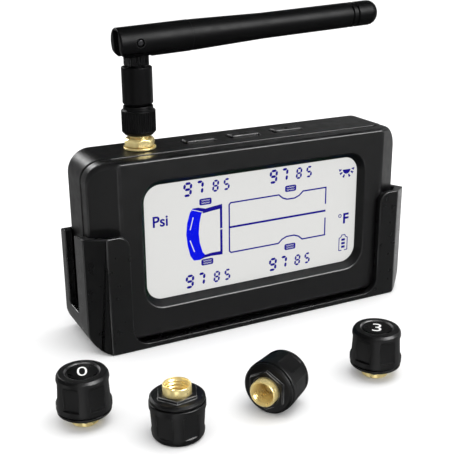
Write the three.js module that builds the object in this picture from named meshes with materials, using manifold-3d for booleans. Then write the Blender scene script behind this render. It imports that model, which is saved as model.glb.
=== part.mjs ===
// Tyre pressure monitor set: a display unit with a folding antenna, its dashboard cradle,
// and four screw-on valve sensors laid out in front of it.
// Millimetres. +X to the display's right, -Y out of its face, +Z up.
// The origin is the centre of the cradle's flat base, on the surface it stands on.
import * as THREE from 'three';
import { mergeVertices } from 'three/addons/utils/BufferGeometryUtils.js';
import Module from 'manifold-3d';

const wasm = await Module();
wasm.setup();

// ---- Driving dimensions ----
const GAP = 0.3; // clearance between pieces that touch on the real object

const BODY_W = 115;
const BODY_D = 24;
const BODY_TOP = 62;
const BODY_BOTTOM = 2.0;
const BODY_CORNER = 7.5; // corner radius seen from the front
const FRONT = -BODY_D / 2;
const BACK = BODY_D / 2;
const FACET_X = 8.7; // the face slopes back over this width at each side
const FACET_Y = 5.6;
const WALL = 2.0;
const SEAM_FRONT = FRONT + 4.6; // back edge of the front shell, between the facets
const SEAM_BACK = FRONT + 5.7; // front edge of the rear shell's full outline, between the facets
const SEAM_INSET = 0.7; // depth of the groove between the shells

const WINDOW_W = 80.2;
const WINDOW_BOTTOM = 14.0;
const WINDOW_TOP = 52.7;
const WINDOW_CORNER = 5.5;
const RECESS_SLOPE = 1.7; // how far the bezel flares out around the window
const RECESS_DEPTH = 2.5;
const BEZEL_BACK = FRONT + 2.9;

const ANTENNA_X = -36.3;
const ANTENNA_Y = 1.7;
const HINGE_Z = 95.4;
const WHIP_TILT = 3; // degrees above horizontal
const WHIP_R = 4.85;
const WHIP_THIN_R = 4.15;
const WHIP_BEHIND = 6.6; // from the hinge to the forked end
const WHIP_AHEAD = 89.3; // from the hinge to the tip
const SMA_R = 3.175;

const BUTTON_W = 10.6;
const BUTTON_D = 4.4;
const BUTTON_Y = 2.4;
const BUTTON_MID_X = 1.1;
const BUTTON_PITCH = 16.6;
const BUTTON_PROUD = 0.7;

const CRADLE_W = 121;
const CRADLE_FRONT = FRONT - 2.5;
const CRADLE_BACK = BACK + 2.8;
const CRADLE_TOP = 39.4; // top of the lips, at the front
const CRADLE_FACET_X = 6.1;
const CRADLE_FACET_Y = 5.2;
const CRADLE_FLOOR = 1.6;
const CRADLE_CORNER = 8;
const POCKET_GAP = 0.4; // around the display unit
const OPENING_W = 94; // between the front lips
const SLOT_FRONT = -0.6; // the side slots run from here to SLOT_BACK
const SLOT_BACK = 9.6;
const SLOT_BOTTOM = 10.5;

const SCREW_X = 50.2;
const SCREW_LOW = 9.5;
const SCREW_HIGH = 54.5;

// The sensors: x and y on the table, with the brass threads down, up or on the side.
const SENSORS = [
  { pose: 'upright', x: -74.0, y: -46.1 },
  { pose: 'inverted', x: -54.0, y: -64.3 },
  { pose: 'lying', x: -24.3, y: -64.5, heading: -148 },
  { pose: 'upright', x: 12.5, y: -61.3 },
];
const CAP_R = 7.7;
const SENSOR_H = 15.2;
const INSERT_R = 4.1;
const INSERT_BORE = 3.5;

// ---- Materials ----
function material(color, roughness, metalness = 0) {
  return new THREE.MeshStandardMaterial({ color, roughness, metalness });
}
const shellBlack = material(0x232325, 0.42);
const cradleBlack = material(0x2a2a2c, 0.5);
const rubberBlack = material(0x161617, 0.7);
const glossBlack = material(0x0b0b0c, 0.15);
const buttonBlack = material(0x1c1c1e, 0.5);
const brass = material(0xd9b65a, 0.25, 1);
const steel = material(0xb9bcc0, 0.35, 1);
const boardGreen = material(0x14512e, 0.6);
const lcdGrey = material(0xe5e5e3, 0.3);
const clear = material(0xf4f7f8, 0.05);
const diffuser = material(0xf5f5f0, 0.5);
const foilGrey = material(0x9a9da1, 0.45, 0.6);
const foamBlack = material(0x1a1a1a, 0.95);

// ---- Solids ----
// A closed geometry as a manifold solid, with its faces pointing out.
function solid(geometry) {
  const bare = new THREE.BufferGeometry();
  bare.setAttribute('position', geometry.getAttribute('position').clone());
  if (geometry.index) bare.setIndex(geometry.index.clone());
  const merged = mergeVertices(bare, 1e-4);
  const xyz = merged.getAttribute('position').array;
  const index = merged.getIndex().array;
  const triangles = [];
  let volume = 0;
  for (let i = 0; i < index.length; i += 3) {
    const [a, b, c] = [index[i], index[i + 1], index[i + 2]];
    if (a === b || b === c || c === a) continue;
    triangles.push(a, b, c);
    const corners = [a, b, c].map((k) => new THREE.Vector3().fromArray(xyz, 3 * k));
    volume += corners[0].dot(corners[1].clone().cross(corners[2]));
  }
  if (volume < 0) triangles.reverse();
  return new wasm.Manifold(
    new wasm.Mesh({
      numProp: 3,
      vertProperties: new Float32Array(xyz),
      triVerts: new Uint32Array(triangles),
    }),
  );
}

function piece(name, shape, look) {
  const mesh = shape.getMesh();
  const geometry = new THREE.BufferGeometry();
  geometry.setAttribute('position', new THREE.BufferAttribute(mesh.vertProperties, 3));
  geometry.setIndex(new THREE.BufferAttribute(mesh.triVerts, 1));
  geometry.computeVertexNormals();
  const part = new THREE.Mesh(geometry, look);
  part.name = name;
  return part;
}

function block(x0, x1, y0, y1, z0, z1) {
  const box = new THREE.BoxGeometry(x1 - x0, y1 - y0, z1 - z0);
  return solid(box.translate((x0 + x1) / 2, (y0 + y1) / 2, (z0 + z1) / 2));
}

// A profile of [radius, height] points turned about the Z axis.
function turned(profile, segments = 32, x = 0, y = 0) {
  const points = profile.map(([radius, z]) => new THREE.Vector2(radius, z));
  const lathe = new THREE.LatheGeometry(points, segments);
  return solid(lathe.rotateX(Math.PI / 2).translate(x, y, 0));
}

function rod(radius, z0, z1, segments = 32, x = 0, y = 0) {
  return turned([[0, z0], [radius, z0], [radius, z1], [0, z1]], segments, x, y);
}

function tube(outer, inner, z0, z1, segments = 32, x = 0, y = 0) {
  const profile = [[inner, z0], [outer, z0], [outer, z1], [inner, z1], [inner, z0]];
  return turned(profile, segments, x, y);
}

// A rod of the given radius along Y.
function crossRod(radius, x, z, y0, y1, segments = 24) {
  const geometry = new THREE.CylinderGeometry(radius, radius, y1 - y0, segments);
  return solid(geometry.translate(x, (y0 + y1) / 2, z));
}

function roundedOutline(halfWidth, z0, z1, radius) {
  const outline = new THREE.Shape();
  outline.moveTo(-halfWidth + radius, z0);
  outline.lineTo(halfWidth - radius, z0);
  outline.absarc(halfWidth - radius, z0 + radius, radius, -Math.PI / 2, 0);
  outline.absarc(halfWidth - radius, z1 - radius, radius, 0, Math.PI / 2);
  outline.absarc(-halfWidth + radius, z1 - radius, radius, Math.PI / 2, Math.PI);
  outline.absarc(-halfWidth + radius, z0 + radius, radius, Math.PI, 1.5 * Math.PI);
  return outline;
}

function polygon(points) {
  return new THREE.Shape(points.map(([u, v]) => new THREE.Vector2(u, v)));
}

// An outline drawn in X and Z, run from y0 to y1.
function alongY(outline, y0, y1, curveSegments = 6) {
  const geometry = new THREE.ExtrudeGeometry(outline, {
    depth: y1 - y0,
    bevelEnabled: false,
    curveSegments,
  });
  return solid(geometry.rotateX(Math.PI / 2).translate(0, y1, 0));
}

// An outline drawn in X and Y, run from z0 to z1.
function alongZ(outline, z0, z1, curveSegments = 6) {
  const geometry = new THREE.ExtrudeGeometry(outline, {
    depth: z1 - z0,
    bevelEnabled: false,
    curveSegments,
  });
  return solid(geometry.translate(0, 0, z0));
}

// The plan view shared by the display unit and its cradle: a box with sloped front edges.
function facetedPlan(halfWidth, front, back, facetX, facetY) {
  return polygon([
    [-halfWidth, back],
    [-halfWidth, front + facetY],
    [-halfWidth + facetX, front],
    [halfWidth - facetX, front],
    [halfWidth, front + facetY],
    [halfWidth, back],
  ]);
}

// Everything behind the line where the shells meet. The line runs parallel to the face and its
// facets, and y is its place between them.
function behindSeam(y) {
  const plan = facetedPlan(BODY_W / 2 + GAP, y, BACK + 1, FACET_X + GAP, FACET_Y);
  return alongZ(plan, 0, BODY_TOP + 1);
}

// ---- Display unit: shells ----
function bodySlab(y0, y1, inset = 0) {
  const outline = roundedOutline(
    BODY_W / 2 - inset,
    BODY_BOTTOM + inset,
    BODY_TOP - inset,
    BODY_CORNER - inset,
  );
  return alongY(outline, y0, y1);
}

const SCREWS = [
  [-SCREW_X, SCREW_LOW],
  [SCREW_X, SCREW_LOW],
  [-SCREW_X, SCREW_HIGH],
  [SCREW_X, SCREW_HIGH],
];
const POST_R = 2.6;
const POST_BORE = 1.3;
const POST_BACK = BACK - WALL - GAP;
const PILOT_FRONT = -3.0; // the screw holes end here, inside the front shell

function frontShell() {
  const plan = facetedPlan(BODY_W / 2, FRONT, BACK, FACET_X, FACET_Y);
  const rimBack = SEAM_FRONT + FACET_Y;
  let shell = bodySlab(FRONT, rimBack).intersect(alongZ(plan, 0, BODY_TOP + 1));
  shell = shell.subtract(behindSeam(SEAM_FRONT));
  const recess = roundedOutline(WINDOW_W / 2, WINDOW_BOTTOM, WINDOW_TOP, WINDOW_CORNER);
  shell = shell.subtract(alongY(recess, FRONT - 1, rimBack, 6));
  shell = shell.subtract(bezelFlare());
  shell = shell.subtract(alongY(roundedOutline(46, 9.4, 57.2, 3), BEZEL_BACK, rimBack, 2));
  shell = shell.subtract(bodySlab(SEAM_FRONT - 1.2, rimBack + 1, WALL + GAP + SEAM_INSET));
  for (const [x, z] of SCREWS) {
    shell = shell.add(crossRod(POST_R, x, z, SEAM_FRONT - 2, POST_BACK, 16));
    shell = shell.subtract(crossRod(POST_BORE, x, z, PILOT_FRONT, POST_BACK + 1, 12));
  }
  return piece('front_shell', shell, shellBlack);
}

// The sloped sides of the recess around the window, wide at the face and narrow inside.
function bezelFlare() {
  const outlineAt = (grow) =>
    roundedOutline(
      WINDOW_W / 2 + grow,
      WINDOW_BOTTOM - grow * 1.2,
      WINDOW_TOP + grow * 1.2,
      WINDOW_CORNER + grow,
    ).getPoints(6);
  const inner = outlineAt(0);
  const outer = outlineAt(RECESS_SLOPE);
  const vertices = [];
  const index = [];
  const rings = [
    [outer, FRONT - 0.5],
    [outer, FRONT],
    [inner, FRONT + RECESS_DEPTH],
  ];
  for (const [ring, y] of rings) {
    for (const point of ring) vertices.push(point.x, y, point.y);
  }
  const count = inner.length;
  for (let r = 0; r < rings.length - 1; r += 1) {
    for (let i = 0; i < count; i += 1) {
      const a = r * count + i;
      const b = r * count + ((i + 1) % count);
      index.push(a, b, b + count, a, b + count, a + count);
    }
  }
  const last = (rings.length - 1) * count;
  for (let i = 1; i < count - 1; i += 1) {
    index.push(0, i + 1, i);
    index.push(last, last + i, last + i + 1);
  }
  const geometry = new THREE.BufferGeometry();
  geometry.setAttribute('position', new THREE.Float32BufferAttribute(vertices, 3));
  geometry.setIndex(index);
  return solid(geometry);
}

const SOCKET_Z = 24;
const SOCKET_Y = 2.1;
const BUTTONS = ['up', 'mode', 'down'].map((name, i) => ({
  name,
  x: BUTTON_MID_X + (i - 1) * BUTTON_PITCH,
}));

function rearShell() {
  const tongue = bodySlab(SEAM_FRONT, BACK - 1, SEAM_INSET).intersect(behindSeam(SEAM_FRONT + GAP));
  let shell = bodySlab(SEAM_BACK, BACK).intersect(behindSeam(SEAM_BACK)).add(tongue);
  shell = shell.subtract(bodySlab(SEAM_FRONT - 1, BACK - WALL, WALL));
  for (const button of BUTTONS) {
    const [w, d] = [BUTTON_W / 2 + GAP, BUTTON_D / 2 + GAP];
    const hole = block(button.x - w, button.x + w, BUTTON_Y - d, BUTTON_Y + d, 55, 65);
    shell = shell.subtract(hole);
  }
  shell = shell.subtract(rod(SMA_R + GAP, 55, 65, 32, ANTENNA_X, ANTENNA_Y));
  const [y0, y1] = [SOCKET_Y - 2.0, SOCKET_Y + 2.0];
  shell = shell.subtract(block(50, 60, y0, y1, SOCKET_Z - 5, SOCKET_Z + 5));
  for (const [x, z] of SCREWS) {
    shell = shell.subtract(crossRod(1.35, x, z, BACK - WALL - 1, BACK + 1, 12));
    shell = shell.subtract(crossRod(2.3, x, z, BACK - 1.2, BACK + 1, 16));
  }
  return piece('rear_shell', shell, shellBlack);
}

function caseScrew(number, x, z) {
  const head = crossRod(2.0, x, z, BACK - 0.9, BACK - 0.1, 16);
  const shank = crossRod(0.95, x, z, PILOT_FRONT + 0.5, BACK - 0.5, 12);
  const drive = block(x - 1.3, x + 1.3, BACK - 0.5, BACK + 1, z - 0.25, z + 0.25);
  const cross = block(x - 0.25, x + 0.25, BACK - 0.5, BACK + 1, z - 1.3, z + 1.3);
  return piece(`case_screw_${number}`, head.add(shank).subtract(drive).subtract(cross), steel);
}

// ---- Display unit: what the shells hold ----
function displayStack() {
  const panes = [
    ['display_window', 43.5, 0.8, clear],
    ['lcd_panel', 43.5, 1.8, lcdGrey],
    ['backlight_panel', 43.5, 2.0, diffuser],
  ];
  const parts = [];
  let y = BEZEL_BACK + GAP;
  for (const [name, halfWidth, thickness, look] of panes) {
    parts.push(piece(name, block(-halfWidth, halfWidth, y, y + thickness, 11.2, 55.4), look));
    y += thickness + GAP;
  }
  const board = block(-46, 46, y, y + 1.4, 7, 52.6);
  parts.push(piece('main_board', board, boardGreen));
  const back = y + 1.4 + GAP;
  const cell = block(-16, 36, back, back + 6, 12, 46);
  parts.push(piece('battery_cell', cell, foilGrey));
  const buzzer = turned([[0, 0], [5, 0], [5, 4.2], [1, 4.2], [1, 3.4], [0, 3.4]], 24);
  const buzzerPart = piece('alarm_buzzer', buzzer, glossBlack);
  buzzerPart.rotation.x = -Math.PI / 2;
  buzzerPart.position.set(-31, back, 20);
  parts.push(buzzerPart);
  const mouth = block(47, 60, SOCKET_Y - 1.25, SOCKET_Y + 1.25, SOCKET_Z - 4.2, SOCKET_Z + 4.2);
  const can = block(48.6, BODY_W / 2 - 0.4, SOCKET_Y - 1.6, SOCKET_Y + 1.6, SOCKET_Z - 4.6, SOCKET_Z + 4.6);
  const tongue = block(48.6, 55.5, SOCKET_Y - 0.4, SOCKET_Y + 0.4, SOCKET_Z - 3.2, SOCKET_Z + 3.2);
  const backWall = block(48.6, 49.6, SOCKET_Y - 1.6, SOCKET_Y + 1.6, SOCKET_Z - 4.6, SOCKET_Z + 4.6);
  const socket = can.subtract(mouth).add(tongue).add(backWall);
  parts.push(piece('charging_socket', socket, steel));
  return parts;
}

function buttonCap(button) {
  const [w, d] = [BUTTON_W / 2, BUTTON_D / 2];
  const underside = BODY_TOP - WALL - 0.3 - 1.0;
  const top = BODY_TOP + BUTTON_PROUD;
  const y = BUTTON_Y;
  const cap = block(button.x - w, button.x + w, y - d, y + d, underside, top);
  const flange = block(
    button.x - w - 1,
    button.x + w + 1,
    y - d - 1,
    y + d + 1,
    underside,
    underside + 1.0,
  );
  return piece(`button_${button.name}`, cap.add(flange), buttonBlack);
}

function tactSwitch(button) {
  const y = BUTTON_Y;
  const body = block(button.x - 3, button.x + 3, y - 2.2, y + 2.2, 55.6, 57.2);
  const plunger = rod(1.0, 57.0, 57.9, 16, button.x, y);
  return piece(`switch_${button.name}`, body.add(plunger), foilGrey);
}

// ---- Antenna ----
function smaParts() {
  const [x, y] = [ANTENNA_X, ANTENNA_Y];
  const profile = [
    [0, 53],
    [4.4, 53],
    [4.4, BODY_TOP - WALL - GAP],
    [SMA_R, BODY_TOP - WALL - GAP],
    [SMA_R, 70.4],
    [2.1, 70.4],
    [2.1, 67.4],
    [0, 67.4],
  ];
  const jack = turned(profile, 24, x, y);
  const washer = tube(5.2, SMA_R + GAP, BODY_TOP + GAP, BODY_TOP + 0.9, 24, x, y);
  const hexagon = tube(4.95, SMA_R + GAP, BODY_TOP + 1.2, BODY_TOP + 3.7, 6, x, y);
  const smoothBore = rod(SMA_R + GAP, BODY_TOP + 1, BODY_TOP + 4, 24, x, y);
  return [
    piece('sma_jack', jack, brass),
    piece('sma_washer', washer, brass),
    piece('sma_nut', hexagon.subtract(smoothBore), brass),
  ];
}

const NUT_BOTTOM = 66.7;
const NUT_TOP = 75.9;
const BARREL_TOP = 88.0;

function antennaNut() {
  const bore = SMA_R + GAP;
  const profile = [
    [bore, NUT_BOTTOM],
    [4.3, NUT_BOTTOM],
    [5.4, NUT_BOTTOM + 1.1],
    [5.4, 74.6],
    [4.75, 74.9],
    [4.75, NUT_TOP],
    [2.8, NUT_TOP],
    [2.8, 74.3],
    [bore, 74.3],
    [bore, NUT_BOTTOM],
  ];
  return piece('antenna_nut', turned(profile, 24, ANTENNA_X, ANTENNA_Y), rubberBlack);
}

function antennaBarrel() {
  const profile = [
    [0, 70.8],
    [3.1, 70.8],
    [3.1, 73.9],
    [2.4, 73.9],
    [2.4, NUT_TOP + GAP],
    [4.4, NUT_TOP + GAP],
    [4.8, NUT_TOP + GAP + 0.5],
    [4.8, BARREL_TOP - 0.3],
    [4.5, BARREL_TOP],
    [2.5, BARREL_TOP],
    [2.5, 80],
    [0, 80],
  ];
  return piece('antenna_barrel', turned(profile, 24, ANTENNA_X, ANTENNA_Y), rubberBlack);
}

const KNUCKLE_HALF_X = 3.5;
const KNUCKLE_HALF_Y = 2.1;
const PIN_R = 1.0;

function antennaKnuckle() {
  const outline = new THREE.Shape();
  outline.moveTo(-KNUCKLE_HALF_X, BARREL_TOP + GAP);
  outline.lineTo(KNUCKLE_HALF_X, BARREL_TOP + GAP);
  outline.lineTo(KNUCKLE_HALF_X, HINGE_Z);
  outline.absarc(0, HINGE_Z, KNUCKLE_HALF_X, 0, Math.PI);
  outline.lineTo(-KNUCKLE_HALF_X, BARREL_TOP + GAP);
  const eye = new THREE.Path();
  eye.absarc(0, HINGE_Z, PIN_R + GAP, 0, 2 * Math.PI, true);
  outline.holes.push(eye);
  const neck = alongY(outline, -KNUCKLE_HALF_Y, KNUCKLE_HALF_Y, 10);
  const stem = rod(2.0, 81, BARREL_TOP + 1, 20);
  const part = piece('antenna_knuckle', neck.add(stem), rubberBlack);
  part.position.set(ANTENNA_X, ANTENNA_Y, 0);
  return part;
}

// The whip and its pin, with the hinge at their origin and the whip along +X.
function whipGroup() {
  const ears = KNUCKLE_HALF_Y + GAP;
  const profile = [
    [0, -WHIP_BEHIND],
    [4.55, -WHIP_BEHIND],
    [WHIP_R, 0.4 - WHIP_BEHIND],
    [WHIP_R, 20],
    [WHIP_THIN_R, 44],
    [WHIP_THIN_R, 79.3],
    [3.75, 79.6],
    [3.75, 80.3],
    [WHIP_THIN_R, 80.6],
    [WHIP_THIN_R, 81.5],
    [3.75, 81.8],
    [3.75, 82.5],
    [WHIP_THIN_R, 82.8],
    [WHIP_THIN_R, WHIP_AHEAD - 2.6],
    [3.4, WHIP_AHEAD - 0.9],
    [1.9, WHIP_AHEAD - 0.1],
    [0, WHIP_AHEAD],
  ];
  const points = profile.map(([radius, along]) => new THREE.Vector2(radius, along));
  const lathe = new THREE.LatheGeometry(points, 24);
  let whip = solid(lathe.rotateZ(-Math.PI / 2));
  const slotEnd = 4.6;
  whip = whip.subtract(block(-WHIP_BEHIND - 1, slotEnd, -ears, ears, -WHIP_R - 1, 3.9));
  const bore = new THREE.CylinderGeometry(2.0, 2.0, 74, 12).rotateZ(Math.PI / 2);
  whip = whip.subtract(solid(bore.translate(slotEnd + 36, 0, 0)));
  whip = whip.subtract(crossRod(PIN_R + GAP, 0, 0, -6, 6, 16));
  whip = whip.subtract(earCorner());
  const pin = crossRod(PIN_R, 0, 0, -4.5, 4.5, 16);
  const radiator = new THREE.CylinderGeometry(1.3, 1.3, 66, 12).rotateZ(Math.PI / 2);
  const group = new THREE.Group();
  group.add(piece('antenna_whip', whip, rubberBlack));
  group.add(piece('antenna_hinge_pin', pin, steel));
  group.add(piece('antenna_radiator', solid(radiator.translate(41, 0, 0)), brass));
  group.position.set(ANTENNA_X, ANTENNA_Y, HINGE_Z);
  group.rotation.y = THREE.MathUtils.degToRad(-WHIP_TILT);
  return group;
}

// Rounds the lower corner of the forked end, so that it clears the barrel as it turns.
function earCorner() {
  const radius = 3.4;
  const outline = new THREE.Shape();
  outline.moveTo(-WHIP_BEHIND - 1, -WHIP_R - 1);
  outline.lineTo(-WHIP_BEHIND + radius, -WHIP_R - 1);
  outline.lineTo(-WHIP_BEHIND + radius, -WHIP_R);
  outline.absarc(
    -WHIP_BEHIND + radius,
    -WHIP_R + radius,
    radius,
    1.5 * Math.PI,
    Math.PI,
    true,
  );
  outline.lineTo(-WHIP_BEHIND - 1, -WHIP_R + radius);
  return alongY(outline, -6, 6, 6);
}

// ---- Cradle ----
function cradleShell() {
  const half = CRADLE_W / 2;
  const pocket = BODY_W / 2 + POCKET_GAP;
  const plan = facetedPlan(half, CRADLE_FRONT, CRADLE_BACK, CRADLE_FACET_X, CRADLE_FACET_Y);
  const silhouette = roundedOutline(half, 0, CRADLE_TOP + 20, CRADLE_CORNER);
  let shell = alongZ(plan, 0, CRADLE_TOP);
  shell = shell.intersect(alongY(silhouette, CRADLE_FRONT - 1, CRADLE_BACK + 1));
  const inside = facetedPlan(pocket, FRONT - POCKET_GAP, BACK + POCKET_GAP, 4.3, 4.8);
  const hollow = roundedOutline(pocket, CRADLE_FLOOR, CRADLE_TOP + 20, BODY_CORNER);
  const room = alongZ(inside, 0, CRADLE_TOP + 5).intersect(alongY(hollow, -40, 40));
  shell = shell.subtract(room);
  shell = shell.subtract(alongY(lipOpening(), CRADLE_FRONT - 1, FRONT));
  shell = shell.subtract(block(-70, 70, SLOT_FRONT, SLOT_BACK, SLOT_BOTTOM, 50));
  const slope = new THREE.Shape();
  slope.moveTo(CRADLE_FRONT - 2, CRADLE_TOP + 0.3);
  slope.lineTo(CRADLE_BACK + 2, 35.2);
  slope.lineTo(CRADLE_BACK + 2, 50);
  slope.lineTo(CRADLE_FRONT - 2, 50);
  const wedge = new THREE.ExtrudeGeometry(slope, { depth: 140, bevelEnabled: false });
  wedge.rotateX(Math.PI / 2).rotateZ(Math.PI / 2).translate(-70, 0, 0);
  return piece('cradle_shell', shell.subtract(solid(wedge)), cradleBlack);
}

// The gap between the front lips, with round lower corners and the lips' top corners rounded off.
function lipOpening() {
  const half = OPENING_W / 2;
  const radius = 5.5;
  const crown = 4;
  const bottom = CRADLE_FLOOR + 0.2;
  const shoulder = CRADLE_TOP - crown;
  const outline = new THREE.Shape();
  outline.moveTo(-half + radius, bottom);
  outline.lineTo(half - radius, bottom);
  outline.absarc(half - radius, bottom + radius, radius, -Math.PI / 2, 0);
  outline.absarc(half + crown, shoulder, crown, Math.PI, Math.PI / 2, true);
  outline.lineTo(half + crown, CRADLE_TOP + 5);
  outline.lineTo(-half - crown, CRADLE_TOP + 5);
  outline.absarc(-half - crown, shoulder, crown, Math.PI / 2, 0, true);
  outline.absarc(-half + radius, bottom + radius, radius, Math.PI, 1.5 * Math.PI);
  return outline;
}

function adhesivePad() {
  const y = CRADLE_BACK + GAP;
  const outline = roundedOutline(40, 8, 30, 3);
  return piece('cradle_adhesive_pad', alongY(outline, y, y + 1.0, 4), foamBlack);
}

// ---- Sensors, each made with its brass mouth at z 0 and its label up ----
const GRIPS = 6;
const BASE_BOTTOM = 2.2;
const CAP_BOTTOM = 4.5;

function sensorCap(number) {
  const profile = [
    [0, 12.9],
    [6.3, 12.9],
    [6.3, CAP_BOTTOM],
    [CAP_R - 0.3, CAP_BOTTOM],
    [CAP_R, CAP_BOTTOM + 0.3],
    [CAP_R, 6.4],
    [7.25, SENSOR_H - 1.4],
    [6.4, SENSOR_H - 0.2],
    [5.2, SENSOR_H],
    [4.6, SENSOR_H - 0.7],
    [0, SENSOR_H - 0.7],
  ];
  let cap = turned(profile, 24);
  for (let i = 0; i < GRIPS; i += 1) {
    const grip = new THREE.BoxGeometry(2, 4.6, 6.6);
    grip.translate(CAP_R + 0.25, 0, 9.7);
    grip.rotateZ(((i + 0.5) * 2 * Math.PI) / GRIPS);
    cap = cap.subtract(solid(grip));
  }
  return piece(`sensor_${number}_cap`, cap, rubberBlack);
}

function sensorBase(number) {
  const disc = turned(
    [
      [INSERT_R + GAP, BASE_BOTTOM + 0.9],
      [6.9, BASE_BOTTOM + 0.9],
      [7.5, BASE_BOTTOM + 1.4],
      [7.5, CAP_BOTTOM - GAP],
      [5.9, CAP_BOTTOM - GAP],
      [5.9, 8.4],
      [INSERT_R + GAP, 8.4],
      [INSERT_R + GAP, BASE_BOTTOM + 0.9],
    ],
    24,
  );
  const boss = tube(5.9, INSERT_R + GAP, BASE_BOTTOM, BASE_BOTTOM + 1.2, 6);
  const clean = rod(INSERT_R + GAP, 0, 10, 24);
  return piece(`sensor_${number}_base`, disc.add(boss).subtract(clean), rubberBlack);
}

function sensorInsert(number) {
  const profile = [
    [INSERT_BORE, 0.25],
    [INSERT_BORE + 0.25, 0],
    [INSERT_R - 0.1, 0],
    [INSERT_R, 0.15],
    [INSERT_R, 8.2],
    [0, 8.2],
    [0, 7.0],
    [INSERT_BORE, 7.0],
    [INSERT_BORE, 0.25],
  ];
  return piece(`sensor_${number}_insert`, turned(profile, 20), brass);
}

function depressorPin(number) {
  const profile = [[0, 4.4], [0.65, 4.4], [0.65, 5.7], [2.6, 5.7], [2.6, 6.5], [0, 6.5]];
  return piece(`sensor_${number}_pin`, turned(profile, 12), brass);
}

function sensorPlaces() {
  return SENSORS.map((place) => {
    const holder = new THREE.Group();
    if (place.pose === 'inverted') {
      holder.rotation.x = Math.PI;
      holder.position.set(place.x, place.y, SENSOR_H);
    } else if (place.pose === 'lying') {
      const heading = THREE.MathUtils.degToRad(place.heading);
      const brassWay = new THREE.Vector3(Math.cos(heading), Math.sin(heading), 0);
      holder.quaternion.setFromUnitVectors(new THREE.Vector3(0, 0, -1), brassWay);
      holder.position.set(place.x, place.y, CAP_R).addScaledVector(brassWay, SENSOR_H / 2);
    } else {
      holder.position.set(place.x, place.y, 0);
    }
    return holder;
  });
}

function sensor(number, holder) {
  holder.add(
    sensorCap(number),
    sensorBase(number),
    sensorInsert(number),
    depressorPin(number),
    piece(`sensor_${number}_label`, rod(4.3, SENSOR_H - 0.4, SENSOR_H - 0.1, 20), glossBlack),
    piece(`sensor_${number}_board`, rod(5.4, 8.7, 9.4, 16), boardGreen),
    piece(`sensor_${number}_battery`, rod(5.8, 9.8, 11.8, 16), steel),
  );
  return holder;
}

// ---- The whole set ----
const monitor = new THREE.Group();
monitor.add(
  cradleShell(),
  adhesivePad(),
  frontShell(),
  rearShell(),
  ...SCREWS.map(([x, z], i) => caseScrew(i + 1, x, z)),
  ...displayStack(),
  ...BUTTONS.map(buttonCap),
  ...BUTTONS.map(tactSwitch),
  ...smaParts(),
  antennaNut(),
  antennaBarrel(),
  antennaKnuckle(),
  whipGroup(),
  ...sensorPlaces().map((holder, number) => sensor(number, holder)),
);

export default monitor;
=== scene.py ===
"""Tyre pressure monitor with its folding antenna, cradle and four valve sensors: the looks.

Lengths are millimetres until a piece is placed, which turns its mesh into metres.
"""

import math
from contextlib import contextmanager

import bmesh
import bpy
from mathutils import Matrix, Vector


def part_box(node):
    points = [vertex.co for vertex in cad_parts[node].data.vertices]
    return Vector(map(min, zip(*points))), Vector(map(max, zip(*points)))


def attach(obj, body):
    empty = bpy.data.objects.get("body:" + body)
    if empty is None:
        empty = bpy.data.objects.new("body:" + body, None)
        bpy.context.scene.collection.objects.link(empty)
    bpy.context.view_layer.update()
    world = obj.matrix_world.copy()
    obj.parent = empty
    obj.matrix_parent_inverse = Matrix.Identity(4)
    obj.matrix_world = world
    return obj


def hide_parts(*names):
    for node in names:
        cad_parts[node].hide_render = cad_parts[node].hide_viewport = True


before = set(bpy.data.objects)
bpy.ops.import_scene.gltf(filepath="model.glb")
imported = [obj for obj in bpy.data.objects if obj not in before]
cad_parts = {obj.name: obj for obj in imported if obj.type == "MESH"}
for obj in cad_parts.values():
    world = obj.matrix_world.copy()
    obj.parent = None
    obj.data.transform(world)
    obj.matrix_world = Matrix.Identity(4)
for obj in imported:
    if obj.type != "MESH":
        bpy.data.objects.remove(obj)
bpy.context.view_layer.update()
MM = 0.001


# ---- Sizes read from the frame ----
def box_mm(node):
    low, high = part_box(node)
    return low / MM, high / MM


def centre_mm(node):
    low, high = box_mm(node)
    return (low + high) / 2


FACE_LOW, FACE_HIGH = box_mm("front_shell")
CRADLE_LOW, CRADLE_HIGH = box_mm("cradle_shell")
HALF_W = FACE_HIGH.x
FRONT = FACE_LOW.y
BACK = box_mm("rear_shell")[1].y
BOTTOM = FACE_LOW.z
TOP = FACE_HIGH.z
ANTENNA = centre_mm("sma_jack")
HINGE = centre_mm("antenna_hinge_pin")

# ---- Display unit ----
BODY_CORNER = 7.5
FACET_X = 8.7  # the sloped side facets, across and back from the face
FACET_Y = 5.6
SEAM_FRONT = FRONT + 4.6  # the groove between the shells, from here
SEAM_BACK = FRONT + 5.7  # to here
SEAM_INSET = 0.7  # its depth
RIM_TAPER = 0.2  # the front shell narrows by this much towards its face
FACE_EDGE = 1.9  # rounding of the face along its top and bottom
FACE_SIDE_EDGE = 0.5  # and down its sides
SEAM_EDGE = 0.22
RECESS_EDGE = 0.35
BACK_EDGE = 0.8
REAR_EDGE = 0.25
HOLE_EDGE = 0.18  # round the holes in the top
HIDDEN_EDGE = 0.1
WALL = 2.0
WINDOW_HALF = 40.1
WINDOW_BOTTOM = 14.0
WINDOW_TOP = 52.7
WINDOW_CORNER = 5.5
RECESS_SLOPE = 1.7  # how much wider the recess is at the face, on each side
RECESS_RISE = 1.2  # the same above and below, as a multiple of the slope
RECESS_DEPTH = 2.5
POCKET = (-46, 46, 9.4, 57.2)  # the window's seat behind the recess: left, right, bottom, top
POCKET_FRONT = FRONT + 2.9
RIM_HOLLOW = 3.6  # from the outline in to the hollow behind the face
BUTTONS = ("up", "mode", "down")
FLANGE = 1.0  # the part of a button that stays under the shell
BUTTON_GAP = 0.45
SOCKET_SLOT = (2, 5, 1.9)  # half depth, half height and corner radius
SCREW_HOLE_R = 1.35
SCREW_SINK_R = 2.3
SCREW_SINK = 1.2
SOCKET_HOLE_R = 3.5  # the antenna socket's hole and the nut's bore
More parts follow.
